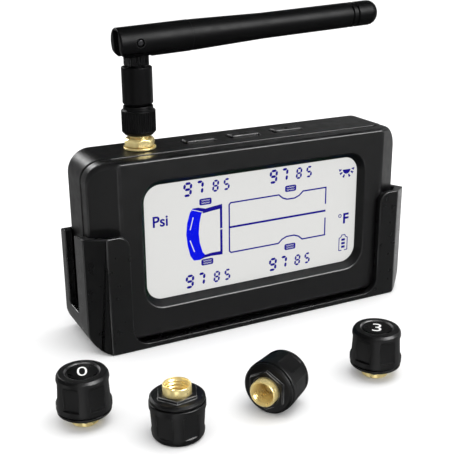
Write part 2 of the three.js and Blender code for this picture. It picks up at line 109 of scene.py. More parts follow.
SCREWS = [f"case_screw_{number}" for number in (1, 2, 3, 4)]

# ---- Cradle ----
CRADLE_HALF = CRADLE_HIGH.x
CRADLE_FRONT = CRADLE_LOW.y
CRADLE_BACK = CRADLE_HIGH.y
CRADLE_TOP = CRADLE_HIGH.z
CRADLE_BACK_TOP = 35.3
CRADLE_CORNER = 8.0
CRADLE_FACET_X = 6.1
CRADLE_FACET_Y = 5.2
CRADLE_FLOOR = 1.6
ROOM_FACET_X = 4.3  # the facets inside the lips
ROOM_FACET_Y = 4.8
POCKET_GAP = 0.4  # round the display unit
OPENING_HALF = 47.0
OPENING_CORNER = 5.5
LIP_CROWN = 4.0  # rounding at the top of each lip
LIP_EDGE = 0.42
SILL_EDGE = 0.15
BASE_EDGE = 0.5
CRADLE_BACK_EDGE = 1.2
SLOPE_LIFT = 0.3

# ---- Antenna ----
WHIP_TILT = 3.0
WHIP_R = 4.85
WHIP_THIN_R = 4.15
WHIP_BEHIND = 6.3  # from the hinge to each end
WHIP_AHEAD = 88.6
WHIP_GROOVES = (77.2, 79.3)
SLEEVE_END = 17.5
FORK_HALF = 2.4  # the slot in the whip that holds the knuckle
FORK_END = 4.6
FORK_TOP = 3.9
KNEE_R = 3.4  # the whip's rounded lower back corner
PIN_HOLE_R = 1.3
KNUCKLE_HALF_X = 3.5
KNUCKLE_HALF_Y = 2.1
JACK_R = 3.175
JACK_FLANGE_R = 4.4
JACK_BORE_R = 2.1
JACK_BORE_BOTTOM = 67.4
NUT_BOTTOM = 66.7
NUT_TOP = 75.9
KNURL_R = 5.4
KNURL_BOTTOM = NUT_BOTTOM + 1.3
KNURL_TOP = 74.3
KNURL_DEPTH = 0.2
KNURL_RIDGES = 44
BARREL_TOP = 88.0

# ---- Sensors, made with the brass mouth at height 0 and the label up ----
SENSORS = range(4)
SENSOR_H = 15.2
CAP_R = 7.7
CAP_BOTTOM = 4.5
GRIPS = 6
GRIP_PLANE = 6.95  # from the axis to a grip's flat
INSERT_R = 3.9
INSERT_BORE = 3.4
BORE_TOP = 6.9
THREAD_PITCH = 1.0
BOSS_R = 5.9
LABEL_R = 4.3
LABEL_TOP = SENSOR_H - 0.1
DIGIT_H = 5.0
SENSOR_FACING = (254, 247, 232, 232)  # the way each sensor's front rib looks, in degrees


# ---- Meshes ----
# The faces of rounded edges, which the plastics paint paler: partly worn, partly a painted highlight.
EDGE_MARK = "rounded_edge"
PLACES = {
    "x": lambda u, v, w: (w, u, v),
    "y": lambda u, v, w: (u, w, v),
    "z": lambda u, v, w: (u, v, w),
}


@contextmanager
def editing(mesh):
    work = bmesh.new()
    work.from_mesh(mesh)
    yield work
    work.to_mesh(mesh)
    work.free()


def add_object(name, data):
    obj = bpy.data.objects.new(name, data)
    bpy.context.scene.collection.objects.link(obj)
    return obj


def new_object(name, vertices, faces):
    mesh = bpy.data.meshes.new(name)
    mesh.from_pydata(vertices, [], faces)
    with editing(mesh) as work:
        bmesh.ops.recalc_face_normals(work, faces=work.faces)
    return add_object(name, mesh)


def loft(name, rings):
    """A closed skin over rings that all have the same number of points."""
    count = len(rings[0])
    vertices = [point for ring in rings for point in ring]
    faces = [tuple(range(count)), tuple(range(len(vertices) - count, len(vertices)))]
    for start in range(0, len(vertices) - count, count):
        for i in range(count):
            j = (i + 1) % count
            faces.append((start + i, start + j, start + count + j, start + count + i))
    return new_object(name, vertices, faces)


def prism(name, outline, low, high, axis):
    """An outline run along an axis. Along x it is drawn in y and z, along y in x and z."""
    place = PLACES[axis]
    return loft(name, [[place(u, v, w) for u, v in outline] for w in (low, high)])


def turned(name, profile, angles=64, shape=None):
    """A profile of (radius, height) points turned about the z axis, closed on the axis or on
    itself. shape(angle, radius, height) gives the radius at a place on the surface."""
    if isinstance(angles, int):
        angles = [2 * math.pi * i / angles for i in range(angles)]
    ringed = profile[0] == profile[-1]
    rows = []
    vertices = []
    for radius, height in profile[:-1] if ringed else profile:
        if radius < 1e-6:
            rows.append([len(vertices)])
            vertices.append((0, 0, height))
            continue
        rows.append(list(range(len(vertices), len(vertices) + len(angles))))
        for angle in angles:
            r = shape(angle, radius, height) if shape else radius
            vertices.append((r * math.cos(angle), r * math.sin(angle), height))
    if ringed:
        rows.append(rows[0])
    faces = []
    for low, high in zip(rows, rows[1:]):
        for i in range(len(angles)):
            j = (i + 1) % len(angles)
            corners = [low[i % len(low)], low[j % len(low)]]
            corners += [high[j % len(high)], high[i % len(high)]]
            faces.append(tuple(dict.fromkeys(corners)))
    return new_object(name, vertices, faces)


def rounded_path(corners, steps=6, closed=True):
    """Points along (u, v, radius) corners, each rounded off by its own radius."""
    path = []
    count = len(corners)
    for i, (u, v, radius) in enumerate(corners):
        here = Vector((u, v))
        if radius == 0 or (not closed and i in (0, count - 1)):
            path.append((u, v))
            continue
        before = (Vector(corners[i - 1][:2]) - here).normalized()
        after = (Vector(corners[(i + 1) % count][:2]) - here).normalized()
        half = before.angle(after) / 2
        centre = here + (before + after).normalized() * radius / math.sin(half)
        start = here + before * radius / math.tan(half) - centre
        end = here + after * radius / math.tan(half) - centre
        turn = math.atan2(start.x * end.y - start.y * end.x, start.dot(end))
        for step in range(steps + 1):
            point = centre + Matrix.Rotation(turn * step / steps, 2) @ start
            path.append((point.x, point.y))
    return path


def rounded_box(left, right, low, high, radius, steps=8):
    around = [(left, low, radius), (right, low, radius), (right, high, radius), (left, high, radius)]
    return rounded_path(around, steps)


def turned_path(name, path, steps, angles=64):
    """A path of (radius, height, rounding) corners turned about the z axis."""
    return turned(name, rounded_path(path, steps, closed=False), angles)


def rod(name, radius, low, high, axis, u=0.0, v=0.0, steps=40):
    turns = [2 * math.pi * i / steps for i in range(steps)]
    circle = [(u + radius * math.cos(a), v + radius * math.sin(a)) for a in turns]
    return prism(name, circle, low, high, axis)


def rotation(degrees, axis):
    return Matrix.Rotation(math.radians(degrees), 4, axis)


def settle(obj):
    """Turns an object's modifiers into its mesh."""
    seen = obj.evaluated_get(bpy.context.evaluated_depsgraph_get())
    mesh = bpy.data.meshes.new_from_object(seen)
    obj.modifiers.clear()
    obj.data = mesh
    return obj


def combine(target, tools, operation):
    """Cuts the tools from the target, or joins them to it, and removes them."""
    for tool in tools:
        modifier = target.modifiers.new("combine", "BOOLEAN")
        modifier.operation = operation
        modifier.solver = "EXACT"
        modifier.object = tool
    settle(target)
    for tool in tools:
        bpy.data.objects.remove(tool)
    with editing(target.data) as work:
        bmesh.ops.remove_doubles(work, verts=work.verts, dist=0.002)
        flat = math.radians(0.3)
        bmesh.ops.dissolve_limit(work, angle_limit=flat, verts=work.verts, edges=work.edges)
    return target


def cut(target, *tools):
    return combine(target, tools, "DIFFERENCE")


def join(target, *tools):
    return combine(target, tools, "UNION")


def keep_inside(target, *tools):
    return combine(target, tools, "INTERSECT")


def round_edges(obj, width_at, sharpest=24, segments=3):
    """Rounds each edge that turns by more than sharpest degrees. width_at is the width, or a
    function that gives it from the middle of an edge."""
    with editing(obj.data) as work:
        layer = work.edges.layers.float.new("bevel_weight_edge")
        widths = {}
        for edge in work.edges:
            if len(edge.link_faces) == 2 and edge.calc_face_angle() > math.radians(sharpest):
                middle = (edge.verts[0].co + edge.verts[1].co) / 2
                widths[edge] = width_at(middle) if callable(width_at) else width_at
        widest = max(widths.values())
        for edge, width in widths.items():
            edge[layer] = width / widest
    obj.data.materials.append(None)
    obj.data.materials.append(None)  # the modifier gives its faces this second slot
    modifier = obj.modifiers.new("rounding", "BEVEL")
    modifier.width = widest
    modifier.segments = segments
    modifier.limit_method = "WEIGHT"
    modifier.use_clamp_overlap = False
    modifier.material = 1
    settle(obj)
    mark_faces(obj, lambda face: face.material_index == 1)
    obj.data.polygons.foreach_set("material_index", [0] * len(obj.data.polygons))
    return obj


def mark_faces(obj, chosen):
    """Marks the faces that the plastics paint paler: worn edges, and a painted highlight along them."""
    mark = obj.data.attributes.new(EDGE_MARK, "FLOAT", "FACE")
    mark.data.foreach_set("value", [float(chosen(face)) for face in obj.data.polygons])


def shade(obj, crease=38):
    """Smooth shading that keeps flats flat and breaks at creases."""
    mesh = obj.data
    mesh.shade_smooth()
    mesh.set_sharp_from_angle(angle=math.radians(crease))
    weighted = obj.modifiers.new("flats", "WEIGHTED_NORMAL")
    weighted.keep_sharp = True
    return settle(obj)


def place(obj, body, slot, material, stands_for=(), at=None):
    """Puts a finished piece on its body, in metres, with its material."""
    if at is not None:
        obj.data.transform(at)
    obj.data.transform(Matrix.Scale(MM, 4))
    obj.data.materials.clear()
    obj.data.materials.append(material)
    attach(obj, body)
    if stands_for:
        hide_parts(*stands_for)
    return obj


# ---- Materials ----
TOOL_MARKS = (1, 1, 6)  # how much finer the marks on metal are along each axis
MIX_A, MIX_B, MIX_OUT = 6, 7, 2  # the colour sockets of a mix node


def feed(tree, node, inputs):
    """Sets a node's inputs to constants, or links them to other nodes' outputs."""
    for key, value in inputs.items():
        if isinstance(value, bpy.types.NodeSocket):
            tree.links.new(value, node.inputs[key])
        else:
            node.inputs[key].default_value = value


def add_node(tree, kind, inputs, **settings):
    node = tree.nodes.new("ShaderNode" + kind)
    for key, value in settings.items():
        setattr(node, key, value)
    feed(tree, node, inputs)
    return node


def opaque(colour):
    return (*colour, 1)


def scaled(colour, factor):
    return tuple(c * factor for c in colour)


def blank_material(name, roughness, metallic=0.0, specular=0.5):
    material = bpy.data.materials.new(name)
    material.use_nodes = True
    tree = material.node_tree
    shader = tree.nodes["Principled BSDF"]
    constants = {"Roughness": roughness, "Metallic": metallic, "Specular IOR Level": specular}
    feed(tree, shader, constants)
    return material, tree, shader


def noise(tree, size_mm, detail=2.0, stretch=(1, 1, 1)):
    """Noise in object space with features of about size_mm."""
    where = add_node(tree, "TexCoord", {}).outputs["Object"]
    scale = [s / (size_mm * MM) for s in stretch]
    mapped = add_node(tree, "Mapping", {"Vector": where, "Scale": scale}).outputs["Vector"]
    texture = add_node(tree, "TexNoise", {"Vector": mapped, "Scale": 1.0, "Detail": detail})
    return texture.outputs["Fac"]


def spread(tree, value, low, high, to_low, to_high):
    """Maps a value from low..high to to_low..to_high."""
    ranges = {"From Min": low, "From Max": high, "To Min": to_low, "To Max": to_high}
    return add_node(tree, "MapRange", {"Value": value, **ranges}).outputs["Result"]


def blend_colour(tree, factor, first, second):
    """first is a colour or an output that gives one, second a colour."""
    if isinstance(first, tuple):
        first = opaque(first)
    inputs = {"Factor": factor, MIX_A: first, MIX_B: opaque(second)}
    return add_node(tree, "Mix", inputs, data_type="RGBA").outputs[MIX_OUT]


def worn_edges(tree, strength):
    """0 on flats, and patchily up to strength on the rounded edges, which are partly worn and partly a
    painted highlight.
    """
    edge = add_node(tree, "Attribute", {}, attribute_name=EDGE_MARK).outputs["Fac"]
    patches = spread(tree, noise(tree, 4.0, 3.0), 0.35, 0.65, 0.0, strength)
    product = add_node(tree, "Math", {0: edge, 1: patches}, operation="MULTIPLY")
    return product.outputs["Value"]


def bump(tree, heights, distance_mm):
    inputs = {"Distance": distance_mm * MM, "Height": heights}
    return add_node(tree, "Bump", inputs).outputs["Normal"]


def plastic(name, dark, light, roughness, grain_mm, grain_height, specular=0.5, edge_wear_and_highlight=0.5):
    """Moulded plastic: fine grain, faint mottling, and paler edges that are partly worn and partly a
    painted highlight.
    """
    material, tree, shader = blank_material(name, roughness, specular=specular)
    mottled = blend_colour(tree, noise(tree, 9.0), dark, scaled(dark, 1.25))
    gloss = spread(tree, noise(tree, 3.0), 0.3, 0.7, roughness - 0.04, roughness + 0.05)
    feed(tree, shader, {
        "Base Color": blend_colour(tree, worn_edges(tree, edge_wear_and_highlight), mottled, light),
        "Roughness": gloss,
        "Normal": bump(tree, noise(tree, grain_mm, 3.0), grain_height),
    })
    return material


def metal(name, colour, shadow, roughness, brush_mm, brush_height):
    """Turned metal: fine tool marks, and patches of a duller film that scatters light."""
    material, tree, shader = blank_material(name, roughness, metallic=0.55)
    film = spread(tree, noise(tree, 1.6, 4.0), 0.35, 0.75, 0.0, 0.6)
    gloss = spread(tree, noise(tree, 2.5), 0.3, 0.7, roughness * 0.96, roughness * 1.08)
    feed(tree, shader, {
        "Base Color": blend_colour(tree, film, colour, shadow),
        "Roughness": gloss,
        "Normal": bump(tree, noise(tree, brush_mm, 3.0, TOOL_MARKS), brush_height),
    })
    return material


def screen_material(name, colour, matt, glow):
    """The display's film: matt is the part of its colour that the room lights, glow its own."""
    material, tree, shader = blank_material(name, 0.6, specular=0.0)
    lit = scaled(colour, matt)
    feed(tree, shader, {
        "Base Color": blend_colour(tree, noise(tree, 0.25), lit, scaled(lit, 0.9)),
        "Emission Color": opaque(colour),
        "Emission Strength": glow,
        "Normal": bump(tree, noise(tree, 0.2), 0.004),
    })
    return material


def clear_material(name):
    """The window: nearly invisible, with a polished face."""
    material, tree, shader = blank_material(name, 0.04)
    feed(tree, shader, {
        "Base Color": (0.01, 0.01, 0.01, 1),
        "Alpha": 0.05,
        "Roughness": spread(tree, noise(tree, 6.0), 0.3, 0.7, 0.03, 0.07),
    })
    return material


def foam_material(name, colour, cell_mm):
    """Closed-cell foam."""
    material, tree, shader = blank_material(name, 0.95, specular=0.1)
    feed(tree, shader, {
        "Base Color": blend_colour(tree, noise(tree, cell_mm, 3.0), colour, scaled(colour, 1.8)),
        "Normal": bump(tree, noise(tree, cell_mm), 0.12),
    })
    return material


def table_material(name, colour):
    """The table top: matt, with the faintest mottling."""
    material, tree, shader = blank_material(name, 0.8, specular=0.0)
    mottled = blend_colour(tree, noise(tree, 60.0), colour, scaled(colour, 0.985))
    feed(tree, shader, {"Base Color": mottled})
    return material


# Name, colour, colour of the worn and painted-highlight edges, roughness, grain size and height,
# specular level, strength of the worn and painted-highlight edges.
SHELL = plastic("shell_satin_black", (0.002, 0.002, 0.0022), (0.02, 0.02, 0.021), 0.37, 0.22, 0.004)
CRADLE = plastic("cradle_satin_black", (0.0022, 0.0023, 0.0025), (0.03, 0.03, 0.031), 0.3, 0.25, 0.005)
# The buttons' pale rounded edges are mostly a painted highlight.
BUTTON = plastic("button_black", (0.0022, 0.0022, 0.0024), (0.14, 0.14, 0.14), 0.3, 0.2, 0.004)
# The sensor's pale edges and the ring round its label are painted highlights.
SENSOR = plastic("sensor_black", (0.002, 0.002, 0.0022), (0.28, 0.28, 0.28), 0.42, 0.2, 0.005, 0.4, 0.8)
RUBBER = plastic(
    "antenna_matt_black", (0.0022, 0.0022, 0.0024), (0.05, 0.05, 0.051), 0.42, 0.18, 0.006, 0.1
)
GLOSS = plastic("label_gloss_black", (0.0008, 0.0008, 0.0009), (0.2, 0.2, 0.2), 0.3, 0.5, 0.0006, 0.12)
WHITE_INK = plastic("white_ink", (0.75, 0.75, 0.74), (0.8, 0.8, 0.8), 0.5, 0.15, 0.003, 0.3)
BOARD = plastic("board_green", (0.006, 0.07, 0.025), (0.01, 0.1, 0.04), 0.45, 0.5, 0.01)
FOIL = plastic("foil_grey", (0.3, 0.31, 0.33), (0.4, 0.41, 0.43), 0.4, 1.2, 0.02)

# Name, colour, colour of the film, roughness, size and height of the tool marks.
BRASS = metal("brass", (1.0, 0.84, 0.4), (0.86, 0.64, 0.22), 0.28, 0.2, 0.0003)
STEEL = metal("steel", (0.62, 0.63, 0.65), (0.45, 0.46, 0.48), 0.3, 0.15, 0.004)
DARK_STEEL = metal("blackened_steel", (0.02, 0.02, 0.022), (0.012, 0.012, 0.013), 0.35, 0.15, 0.004)

FOAM = foam_material("foam_black", (0.008, 0.008, 0.008), 0.4)
SCREEN = screen_material("display_grey", (0.80, 0.80, 0.785), 0.12, 0.92)
INK_NAVY = screen_material("display_navy", (0.012, 0.008, 0.27), 0.3, 0.75)
INK_BLUE = screen_material("display_blue", (0.004, 0.008, 0.78), 0.3, 0.8)
WINDOW = clear_material("display_window")
TABLE = table_material("table_white", (0.93, 0.93, 0.93))


# ---- Display unit: shells ----
def body_outline(inset=0.0):
    radius = BODY_CORNER - inset
    return rounded_box(-HALF_W + inset, HALF_W - inset, BOTTOM + inset, TOP - inset, radius, 12)


def body_slab(name, y0, y1, inset0=0.0, inset1=0.0):
    rings = []
    for y, inset in ((y0, inset0), (y1, inset1)):
        rings.append([(u, y, v) for u, v in body_outline(inset)])
    return loft(name, rings)


def faceted_plan(half, front, back, facet_x, facet_y):
    right = [(half - facet_x, front), (half, front + facet_y), (half, back)]
    return [(-x, y) for x, y in reversed(right)] + right


def behind_seam(name, y):
    """Everything behind the line where the shells meet; y is its place between the facets."""
    plan = faceted_plan(HALF_W + 1, y, BACK + 5, FACET_X + 1, FACET_Y + 0.65)
    return prism(name, plan, -5, TOP + 5, "z")


def front_shell():
    rim_back = SEAM_FRONT + FACET_Y
    shell = body_slab("front_shell_fine", FRONT, rim_back, RIM_TAPER, 0.0)
    plan = faceted_plan(HALF_W, FRONT, BACK + 5, FACET_X, FACET_Y)
    keep_inside(shell, prism("plan", plan, -5, TOP + 5, "z"))
    cut(shell, behind_seam("behind", SEAM_FRONT))
    flare = []
    places = (FRONT - 1, FRONT, FRONT + RECESS_DEPTH, rim_back)
    for y, grow in zip(places, (RECESS_SLOPE, RECESS_SLOPE, 0, 0)):
        half = WINDOW_HALF + grow
        bottom = WINDOW_BOTTOM - RECESS_RISE * grow
        top = WINDOW_TOP + RECESS_RISE * grow
        outline = rounded_box(-half, half, bottom, top, WINDOW_CORNER + grow, 10)
        flare.append([(u, y, v) for u, v in outline])
    cut(shell, loft("recess", flare))
    pocket = prism("pocket", rounded_box(*POCKET, 3), POCKET_FRONT, rim_back, "y")
    hollow = body_slab("hollow", SEAM_FRONT - 0.6, rim_back + 1, RIM_HOLLOW, RIM_HOLLOW)
    cut(shell, pocket, hollow)

    def width(middle):
        if abs(middle.x) < WINDOW_HALF + 3 and WINDOW_BOTTOM - 3 < middle.z < WINDOW_TOP + 3:
            return RECESS_EDGE
        half_height = (TOP - BOTTOM) / 2
        past_x = max(0.0, abs(middle.x) - HALF_W + BODY_CORNER)
        past_z = max(0.0, abs(middle.z - BOTTOM - half_height) - half_height + BODY_CORNER)
        if math.hypot(past_x, past_z) < BODY_CORNER - 0.6:
            return FACE_SIDE_EDGE if middle.y < FRONT + 0.1 else HIDDEN_EDGE
        seam = SEAM_FRONT + max(0.0, abs(middle.x) - HALF_W + FACET_X) * FACET_Y / FACET_X
        if abs(middle.y - seam) < 0.4:
            return SEAM_EDGE
        share = min(1.0, past_z / BODY_CORNER)
        return FACE_SIDE_EDGE + share * (FACE_EDGE - FACE_SIDE_EDGE)

    round_edges(shell, width, segments=6)
    place(shade(shell), "monitor", "shell_plastic", SHELL, ["front_shell"])


def button_hole(name):
    low, high = box_mm(f"button_{name}")
    inset = FLANGE - BUTTON_GAP
    outline = rounded_box(low.x + inset, high.x - inset, low.y + inset, high.y - inset, 0.9, 4)
    return prism("button_hole", outline, TOP - 5, TOP + 2, "z")


def rear_shell():
    shell = body_slab("rear_shell_fine", SEAM_BACK, BACK)
    keep_inside(shell, behind_seam("behind", SEAM_BACK))
    tongue = body_slab("tongue", SEAM_FRONT, BACK - 1, SEAM_INSET, SEAM_INSET)
    keep_inside(tongue, behind_seam("behind_tongue", SEAM_FRONT + 0.3))
    join(shell, tongue)
    cut(shell, body_slab("hollow", SEAM_FRONT - 1, BACK - WALL, WALL, WALL))
    openings = [button_hole(name) for name in BUTTONS]
    antenna_at = (ANTENNA.x, ANTENNA.y)
    openings.append(rod("antenna_hole", SOCKET_HOLE_R, TOP - 5, TOP + 2, "z", *antenna_at))
    socket = centre_mm("charging_socket")
    deep, tall, corner = SOCKET_SLOT
    slot = rounded_box(socket.y - deep, socket.y + deep, socket.z - tall, socket.z + tall, corner, 6)
    openings.append(prism("socket_hole", slot, HALF_W - 5, HALF_W + 2, "x"))
    for name in SCREWS:
        screw = centre_mm(name)
        hole = rod("screw_hole", SCREW_HOLE_R, BACK - 4, BACK + 1, "y", screw.x, screw.z, 24)
        sink = rod("sink", SCREW_SINK_R, BACK - SCREW_SINK, BACK + 2, "y", screw.x, screw.z, 32)
        openings += [hole, sink]
    cut(shell, *openings)

    def width(middle):
        rim = abs(middle.x) > HALF_W - 2 or not BOTTOM + 2 < middle.z < TOP - 2
        if middle.y > BACK - 0.05 and rim:
            return BACK_EDGE
        above = middle.z > TOP - 0.05 and abs(middle.x) < 40
        return HOLE_EDGE if above and middle.y > max(SEAM_BACK - 0.1, -2) else REAR_EDGE

    round_edges(shell, width, segments=4)
    place(shade(shell), "monitor", "shell_plastic", SHELL, ["rear_shell"])


# From the tip to the head, as (radius, height).
SCREW_PROFILE = [(0, 0), (0.95, 0), (0.95, 12.6), (2, 13.3), (2, 13.9), (1.6, 14.3), (0, 14.4)]
SCREW_DRIVE_BOTTOM = 13.4


def case_screws():
    for name in SCREWS:
        middle = centre_mm(name)
        screw = turned(name + "_fine", SCREW_PROFILE, 40)
        slots = []
        for long, thin in ((1.2, 0.3), (0.3, 1.2)):
            slot = rounded_box(-long, long, -thin, thin, 0.1, 2)
            slots.append(prism("drive", slot, SCREW_DRIVE_BOTTOM, SCREW_DRIVE_BOTTOM + 2, "z"))
        cut(screw, *slots)
        round_edges(screw, 0.06, sharpest=40, segments=2)
        at = Matrix.Translation((middle.x, box_mm(name)[0].y, middle.z)) @ rotation(-90, "X")
        place(shade(screw), "monitor", "steel", STEEL, [name], at)


def buttons():
    for name in BUTTONS:
        node = f"button_{name}"
        low, high = box_mm(node)
        middle = (low + high) / 2
        size = high - low
        half_w, half_d = size.x / 2 - FLANGE, size.y / 2 - FLANGE
        rings = []
        for height, inset in ((0.0, 0.0), (2.4, 0.0), (size.z, 0.12)):
            w, d = half_w - inset, half_d - inset
            rings.append([(u, v, height) for u, v in rounded_box(-w, w, -d, d, 0.7, 5)])
        cap = loft(f"{node}_fine", rings)
        w, d = half_w + FLANGE, half_d + FLANGE
        join(cap, prism("flange", rounded_box(-w, w, -d, d, 1, 3), 0, 1, "z"))
        round_edges(cap, lambda spot: 0.3 if spot.z > 3 else HIDDEN_EDGE)
        at = Matrix.Translation((middle.x, middle.y, low.z))
        place(shade(cap), node, "button_plastic", BUTTON, [node], at)
        place(shade(button_mark(name, size.z)), node, "gloss_black", GLOSS, at=at)


def button_mark(name, height):
    """A raised mark on a button: a triangle up or down, or two peaks."""
    peak = [(-1.3, -0.8), (1.3, -0.8), (0, 0.9)]
    shapes = {
        "up": [peak],
        "down": [[(u, -v) for u, v in peak]],
        "mode": [[(0.75 * u + shift, v) for u, v in peak] for shift in (-0.9, 0.9)],
    }
    parts = [prism("mark", shape, height - 0.2, height + 0.1, "z") for shape in shapes[name]]
    mark = parts[0]
    mark.name = f"button_{name}_mark"
    if parts[1:]:
        join(mark, *parts[1:])
    round_edges(mark, 0.04, segments=2)
    return mark


# ---- Display ----
FILM_Y = box_mm("lcd_panel")[0].y
INK_DEPTH = 0.05
SCREEN_SHIFT = 0.85
DIGIT_SLANT = 0.1
SEGMENT = 0.85  # stroke width of the large digits
SMALL_SEGMENT = 0.66
SEGMENTS = {"9": "abcdfg", "7": "abc", "8": "abcdefg", "5": "acdfg"}
GROUPS = ((13.4, 1.2), (45.0, 1.2), (13.4, 33.0), (45.0, 32.8))
TYRES = ((21.2, 8.5), (53.3, 8.6), (21.5, 29.5), (53.4, 29.7))
TYRE_W = 4.4
TYRE_H = 2.2
ICON_LINE = 0.32


def screen_point(u, v, y):
    """u runs right and v down from the window's top left corner."""
    return (u + SCREEN_SHIFT - WINDOW_HALF, y, WINDOW_TOP - v)


def printed(name, shapes, depth=INK_DEPTH, lift=0.0):
    """Flat shapes in screen coordinates, printed on the display film as one piece."""
    vertices = []
    faces = []
    for shape in shapes:
        start = len(vertices)
        count = len(shape)
        for y in (FILM_Y - lift - depth, FILM_Y - lift):
            vertices += [screen_point(u, v, y) for u, v in shape]
        faces.append(tuple(range(start, start + count)))
        faces.append(tuple(range(start + count, start + 2 * count)))
        for i in range(count):
            j = (i + 1) % count
            faces.append((start + i, start + j, start + count + j, start + count + i))
    return new_object(name, vertices, faces)


def line(points, width):
    """The outline of a line of a given width with mitred corners."""
    sides = ([], [])
    for i, point in enumerate(points):
        here = Vector(point)
        ahead = (Vector(points[i + 1]) - here).normalized() if i + 1 < len(points) else None
        behind = (here - Vector(points[i - 1])).normalized() if i > 0 else ahead
        ahead = ahead or behind
        normal = Vector((-(ahead.y + behind.y), ahead.x + behind.x)).normalized()
        reach = width / 2 / max(0.4, abs(normal.dot(Vector((-ahead.y, ahead.x)))))
        sides[0].append(tuple(here + normal * reach))
        sides[1].append(tuple(here - normal * reach))
    return sides[0] + sides[1][::-1]


def digit(character, u, v, width, height, stroke):
    """The lit segments of one seven-segment digit, leaning right."""
    half = stroke / 2
    gap = 0.1 * stroke + 0.04
    middle = height / 2

    def bar(length, along):
        tip = length / 2 - gap
        body = tip - half
        points = [(-tip, 0), (-body, -half), (body, -half), (tip, 0), (body, half), (-body, half)]
        return points if along == "u" else [(b, a) for a, b in points]

    across = width - stroke
    upright = middle - half
    top, low = half + upright / 2, middle + upright / 2
    bars = {
        "a": (width / 2, half, "u", across),
        "b": (width - half, top, "v", upright),
        "c": (width - half, low, "v", upright),
        "d": (width / 2, height - half, "u", across),
        "e": (half, low, "v", upright),
        "f": (half, top, "v", upright),
        "g": (width / 2, middle, "u", across),
    }
    shapes = []
    for key in SEGMENTS[character]:
        cu, cv, along, length = bars[key]
        shape = []
        for a, b in bar(length, along):
            lean = (height - (cv + b)) * DIGIT_SLANT
            shape.append((u + cu + a + lean - DIGIT_SLANT * middle, v + cv + b))
        shapes.append(shape)
    return shapes


def arc(cu, cv, radius, start, end, steps=12):
    turns = [math.radians(start + (end - start) * i / steps) for i in range(steps + 1)]
    return [(cu + radius * math.cos(a), cv + radius * math.sin(a)) for a in turns]


def readings():
    """Four groups of two large and two small digits."""
    shapes = []
    for u, v in GROUPS:
        shapes += digit("9", u, v, 3.1, 4.8, SEGMENT)
        shapes += digit("7", u + 4.3, v, 2.9, 4.8, SEGMENT)
        shapes += digit("8", u + 10.4, v + 0.5, 2.3, 4.0, SMALL_SEGMENT)
        shapes += digit("5", u + 14.4, v + 0.5, 2.3, 4.0, SMALL_SEGMENT)
    return shapes


def cab():
    """The towing cab: its filled front, and the outline behind it."""
    front = [(18.6, 28.4), (16.6, 28.2), (15.4, 26.4), (14.5, 22.6), (14.1, 18.8), (14.5, 15.0)]
    front += [(15.6, 11.4), (16.6, 10.2), (20.3, 11.4), (19.6, 12.6), (18.9, 15.6), (18.6, 19.0)]
    front += [(18.9, 22.4), (19.9, 25.8), (20.8, 26.9)]
    top = [(16.6, 10.2), (18.6, 10.2), (21.2, 10.9), (23.6, 10.6), (27.2, 10.2), (27.2, 11.7)]
    top += [(23.6, 12.0), (20.3, 12.4)]
    base = [(18.6, 28.4), (20.8, 26.9), (23.0, 26.6), (27.2, 26.6), (27.2, 27.9), (23.0, 27.7)]
    base += [(20.6, 27.9)]
    upper = line([(26.8, 11.0), (26.8, 18.6)], 0.85)
    lower = line([(26.8, 19.0), (26.8, 27.2)], 0.85)
    return [front], [top, base, upper, lower]


def trailer():
    """The trailer's outline, dented by the wheel arches, in thin lines."""
    left, right, top, base = 29.8, 67.6, 10.3, 27.8

    def side(v, inward):
        arch = [(48.7, 0), (50.2, 1.3), (52.0, 2.0), (55.0, 2.0), (56.8, 1.3), (58.3, 0)]
        points = [(left, v + 0.6 * inward), (left + 0.6, v)]
        points += [(u, v + d * inward) for u, d in arch]
        return points + [(right, v)]

    upper = side(top, 1) + [(right, 16.3)]
    lower = side(base, -1) + [(right, 21.4)]
    end = [(left, top + 0.5), (left, base - 0.5)]
    return [line(points, 0.5) for points in (upper, lower, end)]


def icons():
    """Lamp, battery and degree ring."""
    lamp = Vector((76.0, 4.9))
    shapes = [arc(*lamp, 1.6, 0, 180, 14)]
    for angle in (28, 64, 116, 152):
        a = math.radians(angle)
        out = Vector((math.cos(a), math.sin(a)))
        side = Vector((-out.y, out.x))
        ray = ((1.95, 0.2), (3.1, 0.42), (3.1, -0.42), (1.95, -0.2))
        shapes.append([tuple(lamp + out * reach + side * across) for reach, across in ray])
    for way in (-1, 1):
        shapes.append([(lamp.x + way * u, v) for u, v in ((1.9, 4.75), (3.3, 4.5), (2.9, 5.5))])
    left, right, top, base = 73.9, 77.4, 29.9, 35.0
    cap = [(left + 0.8, top), (left + 1.1, top - 0.7), (right - 1.1, top - 0.7), (right - 0.8, top)]
    shell = [(left, base), (left, top + 0.4)] + cap + [(right, top + 0.4), (right, base)]
    for outline in (shell, [(left, base), (left + 1.2, base)], [(right - 1.2, base), (right, base)]):
        shapes.append(line(outline, ICON_LINE))
    for level in range(3):
        v = top + 0.7 + level * 1.35
        shapes.append(rounded_box(left + 1.0, right - 1.0, v, v + 0.85, 0))
    for start in (0, 180):
        shapes.append(line(arc(73.9, 21.8, 0.55, start, start + 180, 8), 0.28))
    return shapes


def tyre_icons():
    w, h = TYRE_W / 2, TYRE_H / 2
    return [rounded_box(u - w, u + w, v - h, v + h, 0.6, 4) for u, v in TYRES]


def tyre_treads():
    """The pale zigzag tread inside each tyre icon."""
    shapes = []
    for u, v in TYRES:
        for row in (-0.42, 0.42):
            zigzag = [(u - 1.5 + k * 0.5, v + row + (0.16 if k % 2 else -0.16)) for k in range(7)]
            shapes.append(line(zigzag, 0.16))
    return shapes


